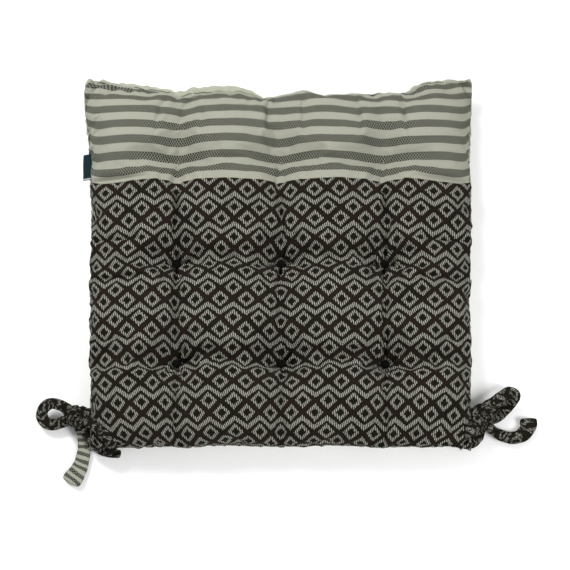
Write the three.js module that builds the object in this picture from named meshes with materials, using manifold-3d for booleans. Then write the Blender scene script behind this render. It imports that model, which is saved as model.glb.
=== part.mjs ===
// Tufted chair seat pad: a woven front cover and a plain backing sewn together round the edge, two batts
// of fibre inside, nine tufting threads through everything, a folded side label and a tied bow at each
// rear corner. Millimetres, +Z up. Origin: centre of the underside. The pad rests on Z = 0, +Y points to
// the edge with the striped band, and the tie straps are sewn in near the two -Y corners.
import * as THREE from 'three';
import { mergeVertices } from 'three/addons/utils/BufferGeometryUtils.js';
import Module from 'manifold-3d';

// ---- pad -------------------------------------------------------------------------------------------
const PAD_WIDTH = 400;          // along X, before the puffs swell the edge
const PAD_DEPTH = 400;          // along Y
const PUFF_HEIGHT = 56;         // underside to the crown of a puff
const SEAM_HEIGHT = 22;         // underside to the edge seam
const COVER_THICKNESS = 1.5;
const GAP = 0.3;                // clearance between pieces that touch
const RIM_HEIGHT = 1.2;         // turned edge of each cover at the seam
const CORNER_PULL = 0.07;       // how far a corner is drawn in, as a fraction of the half size
const EDGE_SCALLOP = 2.5;       // puffs swell the outline by this much, tuft rows draw it in by as much
const TOP_FLAT = 0.6;           // fraction of the half size where the top starts to round over
const UNDERSIDE_FLAT = 0.84;    // the same for the underside

// ---- tufting ---------------------------------------------------------------------------------------
const TUFT_PITCH = 107.5;
const TUFT_ROWS = 3;
const TUFT_HEIGHT = 27;         // underside to the front cover at a tuft
const PIT_RADIUS = 34;
const VALLEY_DEPTH = 9;
const VALLEY_HALF_WIDTH = 26;
const UNDERSIDE_PIT_DEPTH = 6;
const UNDERSIDE_PIT_RADIUS = 28;
const THREAD_RADIUS = 0.9;
const THREAD_HOLE_CLEARANCE = 0.4;
const TUFT_HEAD_RADIUS = 4;
const TUFT_HEAD_SLOPE = 0.95;
const TUFT_HEAD_LIFT = 0.9;
const TUFT_HEAD_CROWN = 2.6;
const BACK_KNOT_RADIUS = 2.6;
const BACK_KNOT_BOTTOM = 1.2;

// ---- filling and seam ------------------------------------------------------------------------------
const BATT_SPLIT_HEIGHT = 18;
const SEAM_ALLOWANCE = 3;       // room between the covers' edge and the filling
const SEAM_THREAD_INSET = 2.4;
const SEAM_THREAD_SIZE = 0.9;
const CLOSING_LENGTH = 140;     // the stretch closed last, after filling

// ---- side label ------------------------------------------------------------------------------------
const LABEL_WIDTH = 28;
const LABEL_LENGTH = 9.5;
const LABEL_TAPE = 0.55;
const LABEL_FOLD_GAP = 0.5;
const LABEL_DROOP = THREE.MathUtils.degToRad(25);

// ---- tie straps ------------------------------------------------------------------------------------
const TIE_FROM_FRONT = 35;      // seam point of the straps, from the front edge of the pad
const STRAP_DIAMETER = 6.4;     // a folded strap as a round of about its cross-section's area
const KNOT_HALF_SIZE = new THREE.Vector3(9.5, 12.5, 10.5);
const ROOT_REACH = 2.6;
const ROOT_HALF_WIDTH = 6;
const ROOT_HALF_THICKNESS = 2;
const PIVOT_REACH = ROOT_REACH + GAP + STRAP_DIAMETER / 2;
const LEAD_RISE = 10;           // the straps come into the knot this far above its centre

// Each route is a list of [outwards from the seam point, along +Y from it, height above the base].
const BOWS = {
  left: {
    side: -1,
    knot: [15, -1, 12],
    loops: {
      outer: [
        [24, 9, 13], [34, 15, 12], [45, 13, 10], [52, 4, 9], [47, -7, 8], [36, -10.5, 8], [25, -6, 9],
      ],
      inner: [
        [7, -15, 21], [-4, -25, 29.5], [-15, -32, 31.5], [-22, -39, 25], [-16, -45, 18], [-5, -38, 16], [5, -23, 15.5],
      ],
    },
    tails: {
      long: [[17, -16, 11], [14, -30, 6], [11, -43, 4.6], [13, -57, 4.6], [20, -72, 4.6]],
      short: [[7, -17, 4.8], [-1, -31, 4.6], [-14, -41, 4.6], [-28, -44, 4.6]],
    },
  },
  right: {
    side: 1,
    knot: [15, 1, 12],
    loops: {
      outer: [
        [23, 11, 17], [33, 20, 18], [43, 26, 15], [47.5, 24, 10], [41, 17, 6.5], [31, 11, 6], [23, 5.5, 8],
      ],
      inner: [
        [9, -11, 22], [3, -21, 26], [-3, -31, 23.5], [-4, -36, 18], [1, -34, 14], [7, -25, 13.5], [12.5, -16, 14.5],
      ],
    },
    tails: {
      long: [[20.5, -11, 8.5], [27, -20, 5.5], [39, -25, 4.6], [53, -21, 4.6], [61.5, -12, 4.6], [63, -1, 4.6]],
      short: [[7, -16, 4.2], [6, -26, 4.4], [1, -37, 4.6], [-10, -41, 4.6]],
    },
  },
};

const HALF_WIDTH = PAD_WIDTH / 2;
const HALF_DEPTH = PAD_DEPTH / 2;

const woven = { roughness: 0.95, metalness: 0 };
const jacquardCloth = new THREE.MeshStandardMaterial({ color: 0x47453c, ...woven });
const stripedCloth = new THREE.MeshStandardMaterial({ color: 0xa9ab9c, ...woven });
const backingCloth = new THREE.MeshStandardMaterial({ color: 0xb8baa8, ...woven });
const fibreBatt = new THREE.MeshStandardMaterial({ color: 0xf0efe8, ...woven });
const darkThread = new THREE.MeshStandardMaterial({ color: 0x17150f, roughness: 0.8, metalness: 0 });
const creamThread = new THREE.MeshStandardMaterial({ color: 0xb0b29f, roughness: 0.8, metalness: 0 });
const labelTape = new THREE.MeshStandardMaterial({ color: 0x163034, roughness: 0.6, metalness: 0 });

// ---- solids ----------------------------------------------------------------------------------------
const wasm = await Module();
wasm.setup();

function solidOf(geometry) {
  const bare = geometry.clone();
  bare.deleteAttribute('normal');
  bare.deleteAttribute('uv');
  const merged = mergeVertices(bare, 1e-4);
  return new wasm.Manifold(new wasm.Mesh({
    numProp: 3,
    vertProperties: new Float32Array(merged.attributes.position.array),
    triVerts: new Uint32Array(merged.index.array),
  }));
}

function geometryOf(solid) {
  const mesh = solid.getMesh();
  const geometry = new THREE.BufferGeometry();
  geometry.setAttribute('position', new THREE.BufferAttribute(mesh.vertProperties, 3));
  geometry.setIndex(new THREE.BufferAttribute(mesh.triVerts, 1));
  geometry.computeVertexNormals();
  return geometry;
}

function piece(name, shape, material) {
  const geometry = shape instanceof THREE.BufferGeometry ? shape : geometryOf(shape);
  const mesh = new THREE.Mesh(geometry, material);
  mesh.name = name;
  return mesh;
}

// The box between two opposite corners.
function boxSolid(cornerA, cornerB) {
  const size = new THREE.Vector3().subVectors(cornerB, cornerA);
  const centre = new THREE.Vector3().addVectors(cornerA, cornerB).multiplyScalar(0.5);
  const box = new THREE.BoxGeometry(Math.abs(size.x), Math.abs(size.y), Math.abs(size.z));
  return solidOf(box.translate(centre.x, centre.y, centre.z));
}

// ---- the pad's quilted surfaces, as functions of u and v from -1 to 1 ------------------------------

// Grid lines across one half of the pad, as distances from its centre: they pass through every tuft.
function gridLines(half) {
  const distances = [];
  for (const step of [0, 0.15, 0.5, 0.85]) distances.push(step * TUFT_PITCH);
  for (const step of [0, 0.15, 0.45, 0.75, 0.93, 1]) {
    distances.push(TUFT_PITCH + step * (half - TUFT_PITCH));
  }
  const positive = distances.map((distance) => distance / half);
  return [...positive.slice(1).reverse().map((line) => -line), ...positive];
}
const LINES_U = gridLines(HALF_WIDTH);
const LINES_V = gridLines(HALF_DEPTH);

// Puffs swell the outline and tuft rows draw it in.
function scallop(along, half) {
  return -EDGE_SCALLOP * Math.cos((2 * Math.PI * along * half) / TUFT_PITCH);
}

function plan(u, v, inset) {
  const drawn = 1 - CORNER_PULL * (u * v) ** 6;
  const edgeU = scallop(v, HALF_DEPTH) * u * Math.abs(u) ** 5 - inset * u * Math.abs(u) ** 15;
  const edgeV = scallop(u, HALF_WIDTH) * v * Math.abs(v) ** 5 - inset * v * Math.abs(v) ** 15;
  return [HALF_WIDTH * u * drawn + edgeU, HALF_DEPTH * v * drawn + edgeV];
}

// 1 over the flat middle, falling to 0 at the edge along an ellipse.
function fall(u, v, flat) {
  const rimU = Math.max(0, (Math.abs(u) - flat) / (1 - flat));
  const rimV = Math.max(0, (Math.abs(v) - flat) / (1 - flat));
  return Math.sqrt(Math.max(0, 1 - rimU ** 2) * Math.max(0, 1 - rimV ** 2));
}

function bump(distance, radius) {
  return Math.max(0, 1 - (distance / radius) ** 2) ** 2;
}

const TUFT_OFFSETS = Array.from({ length: TUFT_ROWS }, (_, i) => (i - (TUFT_ROWS - 1) / 2) * TUFT_PITCH);

function nearestTuft(distance) {
  return Math.min(...TUFT_OFFSETS.map((offset) => Math.abs(distance - offset)));
}

function topHeight(u, v, inset) {
  const acrossX = nearestTuft(u * HALF_WIDTH);
  const acrossY = nearestTuft(v * HALF_DEPTH);
  const valley = Math.max(bump(acrossX, VALLEY_HALF_WIDTH), bump(acrossY, VALLEY_HALF_WIDTH));
  const pit = bump(Math.hypot(acrossX, acrossY), PIT_RADIUS);
  const crown = PUFF_HEIGHT - VALLEY_DEPTH * valley - (PUFF_HEIGHT - VALLEY_DEPTH - TUFT_HEIGHT) * pit;
  const rim = SEAM_HEIGHT + RIM_HEIGHT;
  const level = fall(u, v, TOP_FLAT);
  return rim + (crown - rim) * level - inset * Math.sqrt(level);
}

function undersideHeight(u, v, inset) {
  const pit = bump(
    Math.hypot(nearestTuft(u * HALF_WIDTH), nearestTuft(v * HALF_DEPTH)), UNDERSIDE_PIT_RADIUS);
  const rim = SEAM_HEIGHT - RIM_HEIGHT;
  const level = fall(u, v, UNDERSIDE_FLAT);
  return rim + (UNDERSIDE_PIT_DEPTH * pit - rim) * level + inset * Math.sqrt(level);
}

// A gridded block whose top and bottom faces follow the two height functions.
function block(topAt, bottomAt, inset) {
  const cells = LINES_U.length - 1;
  const geometry = new THREE.BoxGeometry(cells, cells, 1, cells, cells, 1);
  const position = geometry.attributes.position;
  for (let i = 0; i < position.count; i += 1) {
    const u = LINES_U[Math.round(position.getX(i) + cells / 2)];
    const v = LINES_V[Math.round(position.getY(i) + cells / 2)];
    const height = position.getZ(i) > 0 ? topAt(u, v) : bottomAt(u, v);
    position.setXYZ(i, ...plan(u, v, inset), height);
  }
  return solidOf(geometry);
}

const upperBlock = (inset, floor) => block((u, v) => topHeight(u, v, inset), () => floor, inset);
const lowerBlock = (inset, ceiling) => block(() => ceiling, (u, v) => undersideHeight(u, v, inset), inset);

// ---- tufts -----------------------------------------------------------------------------------------
const ROW_NAMES = ['front', 'middle', 'back'];
const COLUMN_NAMES = ['left', 'centre', 'right'];

function tuftPlaces() {
  const places = [];
  TUFT_OFFSETS.forEach((y, row) => TUFT_OFFSETS.forEach((x, column) => {
    const [px, py] = plan(x / HALF_WIDTH, y / HALF_DEPTH, 0);
    places.push({ name: `tuft_${ROW_NAMES[row]}_${COLUMN_NAMES[column]}`, row, x: px, y: py });
  }));
  return places;
}

function tuftGeometry() {
  const stemTop = TUFT_HEIGHT + TUFT_HEAD_LIFT;
  const flare = stemTop + TUFT_HEAD_SLOPE * TUFT_HEAD_RADIUS;
  const knotTop = UNDERSIDE_PIT_DEPTH - GAP - 0.8;
  const profile = [
    [0, BACK_KNOT_BOTTOM],
    [BACK_KNOT_RADIUS * 0.8, BACK_KNOT_BOTTOM],
    [BACK_KNOT_RADIUS, (BACK_KNOT_BOTTOM + knotTop) / 2],
    [THREAD_RADIUS, knotTop],
    [THREAD_RADIUS, stemTop + TUFT_HEAD_SLOPE * THREAD_RADIUS],
    [TUFT_HEAD_RADIUS, flare],
    [TUFT_HEAD_RADIUS * 0.75, flare + TUFT_HEAD_CROWN * 0.8],
    [0, flare + TUFT_HEAD_CROWN],
  ];
  const geometry = new THREE.LatheGeometry(profile.map(([r, z]) => new THREE.Vector2(r, z)), 10);
  return geometry.rotateX(Math.PI / 2);
}

function threadHoles() {
  const radius = THREAD_RADIUS + THREAD_HOLE_CLEARANCE;
  const height = PUFF_HEIGHT * 2;
  return wasm.Manifold.union(tuftPlaces().map(({ x, y }) => solidOf(
    new THREE.CylinderGeometry(radius, radius, height, 10).rotateX(Math.PI / 2).translate(x, y, 0))));
}

// ---- covers and filling ----------------------------------------------------------------------------
const holes = threadHoles();
const splitUpper = SEAM_HEIGHT + GAP / 2;
const splitLower = SEAM_HEIGHT - GAP / 2;

function topCover() {
  const inside = upperBlock(COVER_THICKNESS, splitLower);
  return upperBlock(0, splitUpper).subtract(inside).subtract(holes);
}

function backingCover() {
  const inside = lowerBlock(COVER_THICKNESS, splitUpper);
  return lowerBlock(0, splitLower).subtract(inside).subtract(holes);
}

function fillingBatts() {
  const clearance = COVER_THICKNESS + GAP;
  const stuffing = block(
    (u, v) => topHeight(u, v, clearance),
    (u, v) => undersideHeight(u, v, clearance),
    COVER_THICKNESS + SEAM_ALLOWANCE,
  ).subtract(holes);
  const wide = PAD_WIDTH + PAD_DEPTH;
  const half = (from, to) => boxSolid(new THREE.Vector3(-wide, -wide, from), new THREE.Vector3(wide, wide, to));
  return {
    upper: stuffing.intersect(half(BATT_SPLIT_HEIGHT + GAP / 2, 2 * PUFF_HEIGHT)),
    lower: stuffing.intersect(half(-PUFF_HEIGHT, BATT_SPLIT_HEIGHT - GAP / 2)),
  };
}

// ---- seam threads: a closed run round the edge, inside both covers ---------------------------------
function outline(inset) {
  const lines = [];
  LINES_U.slice(1).forEach((u) => lines.push(plan(u, -1, inset)));
  LINES_V.slice(1).forEach((v) => lines.push(plan(1, v, inset)));
  [...LINES_U].reverse().slice(1).forEach((u) => lines.push(plan(u, 1, inset)));
  [...LINES_V].reverse().slice(1).forEach((v) => lines.push(plan(-1, v, inset)));
  return lines.map(([x, y]) => new THREE.Vector2(x, y));
}

function seamThreads() {
  const ring = new THREE.Shape(outline(SEAM_THREAD_INSET));
  ring.holes.push(new THREE.Path(outline(SEAM_THREAD_INSET + SEAM_THREAD_SIZE)));
  const geometry = new THREE.ExtrudeGeometry(ring, { depth: SEAM_THREAD_SIZE, bevelEnabled: false });
  const solid = solidOf(geometry.translate(0, 0, SEAM_HEIGHT - SEAM_THREAD_SIZE / 2));
  const stretch = (length) => boxSolid(
    new THREE.Vector3(-length / 2, 0, 0), new THREE.Vector3(length / 2, PAD_DEPTH, 2 * SEAM_HEIGHT));
  return {
    closing: solid.intersect(stretch(CLOSING_LENGTH - GAP)),
    main: solid.subtract(stretch(CLOSING_LENGTH + GAP)),
  };
}

// ---- side label: a tape folded once, its ends in the seam beside the back tuft row -----------------
function sideLabel() {
  const thick = LABEL_TAPE + LABEL_FOLD_GAP / 2;
  const fold = LABEL_LENGTH - LABEL_TAPE;
  const profile = new THREE.Shape([
    [0, -thick], [fold, -thick], [LABEL_LENGTH, -thick / 2], [LABEL_LENGTH, thick / 2], [fold, thick],
    [0, thick], [0, thick - LABEL_TAPE], [fold, thick - LABEL_TAPE], [fold, LABEL_TAPE - thick],
    [0, LABEL_TAPE - thick],
  ].map(([along, across]) => new THREE.Vector2(along, across)));
  const tape = new THREE.ExtrudeGeometry(profile, { depth: LABEL_WIDTH, bevelEnabled: false });
  tape.translate(0, 0, -LABEL_WIDTH / 2).rotateX(Math.PI / 2).rotateZ(Math.PI);
  const mesh = piece('side_label', tape, labelTape);
  const edgeAt = (along) => plan(-1, (TUFT_PITCH + along) / HALF_DEPTH, 0)[0];
  const edge = Math.min(edgeAt(-LABEL_WIDTH / 2), edgeAt(LABEL_WIDTH / 2));
  mesh.position.set(edge - GAP - thick, TUFT_PITCH, SEAM_HEIGHT);
  mesh.rotation.y = -LABEL_DROOP;
  return mesh;
}

// ---- tie straps ------------------------------------------------------------------------------------
function strapGeometry(points) {
  const section = new THREE.Shape().absarc(0, 0, STRAP_DIAMETER / 2, 0, 2 * Math.PI);
  const route = new THREE.CatmullRomCurve3(points);
  const steps = Math.round(route.getLength() / (STRAP_DIAMETER * 0.9));
  return new THREE.ExtrudeGeometry(section, {
    steps, bevelEnabled: false, extrudePath: route, curveSegments: 4,
  });
}

function bow(name, { side, knot, loops, tails }) {
  const seamV = -(HALF_DEPTH - TIE_FROM_FRONT) / HALF_DEPTH;
  const [seamX, seamY] = plan(side, seamV, 0);
  const place = ([out, along, height]) => new THREE.Vector3(seamX + side * out, seamY + along, height);
  const centre = place(knot);

  const ball = (grow) => new THREE.SphereGeometry(1, 14, 10)
    .scale(...KNOT_HALF_SIZE.clone().addScalar(grow).toArray())
    .translate(centre.x, centre.y, centre.z);
  const keepOut = solidOf(ball(GAP));
  const mouth = (point) => centre.clone().lerp(point, 0.62);
  const strap = (points) => solidOf(strapGeometry(points)).subtract(keepOut);

  const pieces = [piece(`tie_${name}_knot`, ball(0), jacquardCloth)];

  const rootBox = boxSolid(
    place([-ROOT_REACH, -ROOT_HALF_WIDTH, SEAM_HEIGHT - ROOT_HALF_THICKNESS]),
    place([ROOT_REACH, ROOT_HALF_WIDTH, SEAM_HEIGHT + ROOT_HALF_THICKNESS]),
  );
  const root = rootBox.subtract(upperBlock(-GAP, 0)).subtract(lowerBlock(-GAP, SEAM_HEIGHT + RIM_HEIGHT));
  pieces.push(piece(`tie_${name}_root`, root, jacquardCloth));

  // Two straps, one above the other, slope side by side from the root's rounded ends into the knot.
  const reach = knot[0] - PIVOT_REACH;
  const drop = SEAM_HEIGHT - knot[2] - LEAD_RISE;
  const length = Math.hypot(reach, drop);
  const spacing = ((STRAP_DIAMETER + GAP) * length) / reach;
  ['upper', 'lower'].forEach((level, i) => {
    const pivot = place([PIVOT_REACH, 0, SEAM_HEIGHT + (i === 0 ? 0.5 : -0.5) * spacing]);
    const lead = new THREE.CapsuleGeometry(STRAP_DIAMETER / 2, length, 3, 10)
      .translate(0, length / 2, 0)
      .rotateZ(-side * Math.PI / 2)
      .rotateY(side * Math.atan2(drop, reach))
      .translate(pivot.x, pivot.y, pivot.z);
    pieces.push(piece(`tie_${name}_lead_${level}`, solidOf(lead).subtract(keepOut), jacquardCloth));
  });
  for (const [which, route] of Object.entries(loops)) {
    const points = route.map(place);
    const closed = [mouth(points[0]), ...points, mouth(points.at(-1))];
    pieces.push(piece(`tie_${name}_loop_${which}`, strap(closed), jacquardCloth));
  }
  for (const [which, route] of Object.entries(tails)) {
    const points = route.map(place);
    const cloth = name === 'left' && which === 'long' ? stripedCloth : jacquardCloth;
    pieces.push(piece(`tie_${name}_tail_${which}`, strap([mouth(points[0]), ...points]), cloth));
  }
  return pieces;
}

// ---- assembly --------------------------------------------------------------------------------------
const group = new THREE.Group();

group.add(piece('top_cover', topCover(), jacquardCloth));
group.add(piece('backing_cover', backingCover(), backingCloth));

const batts = fillingBatts();
group.add(piece('filling_upper', batts.upper, fibreBatt));
group.add(piece('filling_lower', batts.lower, fibreBatt));

const threads = seamThreads();
group.add(piece('seam_thread', threads.main, darkThread));
group.add(piece('closing_seam_thread', threads.closing, creamThread));

for (const { name, row, x, y } of tuftPlaces()) {
  const thread = row === TUFT_ROWS - 1 ? creamThread : darkThread;
  const tuft = piece(name, tuftGeometry(), thread);
  tuft.position.set(x, y, 0);
  group.add(tuft);
}

group.add(sideLabel());
for (const [name, shape] of Object.entries(BOWS)) group.add(...bow(name, shape));

export default group;
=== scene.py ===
import math

import bpy
import numpy as np
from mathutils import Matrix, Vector


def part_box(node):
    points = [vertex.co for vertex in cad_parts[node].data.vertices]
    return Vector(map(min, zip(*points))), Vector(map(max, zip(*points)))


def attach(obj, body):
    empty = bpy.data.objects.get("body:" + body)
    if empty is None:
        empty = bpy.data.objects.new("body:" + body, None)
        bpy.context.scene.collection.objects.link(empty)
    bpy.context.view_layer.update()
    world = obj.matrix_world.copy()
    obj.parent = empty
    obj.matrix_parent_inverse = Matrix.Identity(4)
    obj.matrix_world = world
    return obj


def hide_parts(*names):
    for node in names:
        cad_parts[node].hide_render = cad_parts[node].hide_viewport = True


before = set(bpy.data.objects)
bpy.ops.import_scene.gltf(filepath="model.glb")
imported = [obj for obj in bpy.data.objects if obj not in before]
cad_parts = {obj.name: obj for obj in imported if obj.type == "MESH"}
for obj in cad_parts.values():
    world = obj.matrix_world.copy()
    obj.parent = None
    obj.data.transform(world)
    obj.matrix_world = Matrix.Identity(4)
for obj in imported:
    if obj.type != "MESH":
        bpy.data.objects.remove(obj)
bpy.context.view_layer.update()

bl_info = {
    "name": "Tufted chair seat pad",
    "version": (1, 0, 0),
    "blender": (4, 5, 0),
    "location": "View3D > Sidebar > Seat pad",
    "description": "Builds a tufted seat pad with woven covers, tie bows and a side label round its frame",
    "category": "Add Mesh",
}

MM = 0.001
RNG_SEED = 11

# ---- the pad's lines, in metres -----------------------------------------------------------------------
HALF = 0.197                 # centre to the edge, before the cloth swells
PITCH = 0.1075               # between tufts
MID = 0.022                  # height at which the pad is widest
BACK_RISE = 0.028            # from there up to the top of the rounded striped edge
SIDE_SEAM_HEIGHT = 0.016
CELLS = 67                   # grid cells from the centre to an edge
TUFT_CELL_TOP = 31           # the grid line that passes through the outer tufts, front cover
TUFT_CELL_UNDER = 33         # the same on the backing
TUFT_LINES = (-1, 0, 1)
BAND_TO_TUFTS = 27.5         # millimetres of flat cloth from the band's edge to the back row of tufts
FIRST_STRIPE = 13.2          # and from that edge to the middle of the first dark stripe

# The seam along the striped edge, as (across, distance from the centre, height): it is rolled up on to
# the top at the left and right, and drawn in where a fold runs to the next tuft.
BACK_SEAM = np.array([
    (-196, 202, 27), (-176, 197, 33), (-150, 190, 35), (-126, 185, 36), (-103, 180, 34), (-86, 182, 35),
    (-66, 184, 36), (-42, 184, 35), (-28, 181, 32), (-18, 175, 27), (-4, 182, 25), (22, 189, 24),
    (48, 185, 23), (74, 184, 23), (99, 188, 25), (120, 186, 26), (131, 187, 27), (146, 195, 32),
    (166, 197, 33), (196, 202, 27),
]) * MM
FRONT_SEAM = (-0.191, 0.010)  # place along Y and height
# Half width at the seam from the front to the back, as (along, left, right).
SIDE_SEAM = np.array([
    (-196, -193.5, 193), (-150, -193.5, 193), (-107, -193.5, 193), (-54, -195.5, 194), (0, -195.5, 195),
    (54, -197, 198), (96, -200, 197), (125, -202.5, 198.5), (150, -207, 201), (178, -208, 201),
    (199, -201, 200),
]) * MM


def smooth(low, high, x):
    """0 below low, 1 above high, and an S-shaped rise between."""
    t = np.clip((x - low) / (high - low), 0, 1)
    return t * t * (3 - 2 * t)


def hollow(distance, radius):
    """1 at no distance, falling smoothly to 0 at the radius."""
    return np.clip(1 - (distance / radius) ** 2, 0, None) ** 2


def nearest_line(distance):
    """Distance to the nearest row or column of tufts."""
    return np.min([np.abs(distance - line * PITCH) for line in TUFT_LINES], axis=0)


def softened(values, cells):
    """A running mean along the first axis, over this many cells each way, with the ends held."""
    kernel = np.hanning(2 * cells + 3)[1:-1]
    kernel /= kernel.sum()
    padded = np.concatenate([np.repeat(values[:1], cells, 0), values, np.repeat(values[-1:], cells, 0)])
    return np.stack([np.convolve(column, kernel, "valid") for column in padded.T], axis=1)


# ---- settings -----------------------------------------------------------------------------------------
def number(name, description, default, unit=None, **more):
    if unit:
        more["unit"] = unit
    return bpy.props.FloatProperty(name=name, description=description, default=default, precision=4, **more)


def colour(name, description, default):
    return bpy.props.FloatVectorProperty(
        name=name, description=description, default=default, subtype="COLOR", size=3, min=0, max=1)


class PadSettings(bpy.types.PropertyGroup):
    """Sizes of the stuffed pad."""

    crown: number("Crown", "Height of a puff before it is stuffed", 0.049, "LENGTH")
    valley: number("Valley", "Depth of the valleys that join the tufts", 0.012, "LENGTH")
    tuft_height: number("Tuft height", "Height of the front cover at a tuft", 0.0195, "LENGTH")
    pressure: number("Stuffing pressure", "How hard the fibre pushes the covers out", 4.5)
    slack: number("Slack", "Extra cloth, as a share of its length, that is gathered", 0.05)
    frames: bpy.props.IntProperty(name="Frames", description="Length of the cloth simulation", default=24)
    cover: number("Cover", "Thickness of the woven covers", 0.0009, "LENGTH")


class ClothSettings(bpy.types.PropertyGroup):
    """Scale and colours of the woven cloths."""

    repeat_width: number("Repeat width", "Width of one figure of the pattern", 0.0256, "LENGTH")
    repeat_height: number("Repeat height", "Height of one figure of the pattern", 0.0322, "LENGTH")
    stripe_pitch: number("Stripe pitch", "From one dark stripe of the band to the next", 0.0180, "LENGTH")
    stripe_width: number("Stripe width", "Width of a dark stripe", 0.0090, "LENGTH")
    ground: colour("Ground", "Dark threads between the figures", (0.0062, 0.0060, 0.0036))
    lattice: colour("Lattice", "Brown threads of the lattice", (0.0125, 0.0080, 0.0058))
    figure: colour("Figure", "Light threads of the figures", (0.275, 0.271, 0.233))
    cream: colour("Cream", "Cream threads of the striped band", (0.275, 0.279, 0.226))
    ink: colour("Ink", "Dark threads of the stripes", (0.0050, 0.0050, 0.0035))
    brushed: colour("Backing", "Brushed cotton of the backing", (0.300, 0.310, 0.240))


class TieSettings(bpy.types.PropertyGroup):
    """Sizes of the tie straps."""

    width: number("Strap width", "Width of a folded strap", 0.0136, "LENGTH")
    thickness: number("Strap thickness", "Thickness of a folded strap", 0.0056, "LENGTH")


class StageSettings(bpy.types.PropertyGroup):
    """Camera, floor and light."""

    elevation: number("Elevation", "Angle of the camera above the floor", math.radians(72), subtype="ANGLE")
    distance: number("Distance", "From the camera to the pad", 3.0, "LENGTH")
    span: number("Span", "Width of the view at the pad", 0.5928, "LENGTH")
    floor: colour("Floor", "Colour of the floor", (0.90, 0.90, 0.90))
    key: number("Key light", "Power of the large soft light", 50.0)
    sky: number("Sky", "Strength of the light from all round", 0.50)


# ---- shader expressions -------------------------------------------------------------------------------
class Wire:
    """A number in a shader. Arithmetic on it adds Math nodes."""

    def __init__(self, shader, socket):
        self.shader, self.socket = shader, socket

    def math(self, operation, *others):
        return self.shader.math(operation, self, *others)

    def __add__(self, other):
        return self.math("ADD", other)

    def __sub__(self, other):
        return self.math("SUBTRACT", other)

    def __mul__(self, other):
        return self.math("MULTIPLY", other)

    def __truediv__(self, other):
        return self.math("DIVIDE", other)

    def __rsub__(self, other):
        return self.shader.math("SUBTRACT", other, self)

    def __abs__(self):
        return self.math("ABSOLUTE")

    __radd__ = __add__
    __rmul__ = __mul__

    def floor(self):
        return self.math("FLOOR")

    def fract(self):
        return self.math("FRACT")

    def sine(self):
        return self.math("SINE")

    def lower(self, other):
        return self.math("MINIMUM", other)

    def higher(self, other):
        return self.math("MAXIMUM", other)

    def ramp(self, low, high):
        """0 at low and 1 at high, held outside them; low may be the larger."""
        return self.shader.node("ShaderNodeMapRange", {"clamp": True}, [self, low, high]).wire("Result")


class Node:
    """A shader node made by Shader.node."""

    def __init__(self, shader, node):
        self.shader, self.made = shader, node

    def wire(self, output=0):
        return Wire(self.shader, self.made.outputs[output])


class Shader:
    """A material whose nodes are written as expressions."""

    def __init__(self, name):
        self.material = bpy.data.materials.new(name)
        self.material.use_nodes = True
        self.tree = self.material.node_tree
        self.surface = self.tree.nodes["Principled BSDF"]

    def node(self, kind, settings=None, values=()):
        made = self.tree.nodes.new(kind)
        for key, value in (settings or {}).items():
            setattr(made, key, value)
        pairs = values.items() if isinstance(values, dict) else enumerate(values)
        for key, value in pairs:
            self.set(made.inputs[key], value)
        return Node(self, made)

    def set(self, socket, value):
        if isinstance(value, Wire):
            self.tree.links.new(value.socket, socket)
        elif isinstance(value, (int, float)):
            socket.default_value = value
        else:
            value = tuple(value)
            wide = len(socket.default_value)
            socket.default_value = value + (1.0,) * (wide - len(value))

    def math(self, operation, *values):
        return self.node("ShaderNodeMath", {"operation": operation}, values).wire()

    def mix(self, factor, first, second):
        """first where the factor is 0 and second where it is 1, as colours."""
        made = self.node("ShaderNodeMix", {"data_type": "RGBA"}, {0: factor, 6: first, 7: second})
        return made.wire(2)

    def scaled(self, tint, factor):
        """A colour times a number."""
        return self.node("ShaderNodeVectorMath", {"operation": "SCALE"}, {0: tint, "Scale": factor}).wire()

    def noise(self, place, scale, detail=2.0, roughness=0.5):
        made = self.node("ShaderNodeTexNoise", {"noise_dimensions": "3D"},
                         {"Vector": place, "Scale": scale, "Detail": detail, "Roughness": roughness})
        return made.wire("Fac")

    def object_place(self):
        return self.node("ShaderNodeTexCoord").wire("Object")

    def cloth_place(self):
        """Place on the flat cloth, in millimetres: along the weft and along the warp."""
        vector = self.node("ShaderNodeAttribute", {"attribute_name": "cloth"}).wire("Vector")
        split = self.node("ShaderNodeSeparateXYZ", None, [vector])
        return split.wire("X") * 1000, split.wire("Y") * 1000, vector

    def finish(self, tint, roughness, height, depth, sheen=0.0, sheen_tint=(1, 1, 1), strength=1.0):
        """Wires the surface: height is in 0..1 and depth is its relief in metres."""
        surface = self.surface
        self.set(surface.inputs["Base Color"], tint)
        self.set(surface.inputs["Roughness"], roughness)
        surface.inputs["Specular IOR Level"].default_value = 0.05
        surface.inputs["Sheen Weight"].default_value = sheen
        surface.inputs["Sheen Roughness"].default_value = 0.45
        surface.inputs["Sheen Tint"].default_value = (*sheen_tint, 1)
        relief = {"Strength": strength, "Distance": depth, "Height": height}
        bumped = self.node("ShaderNodeBump", None, relief)
        self.set(surface.inputs["Normal"], bumped.wire("Normal"))
        return self.material


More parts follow.
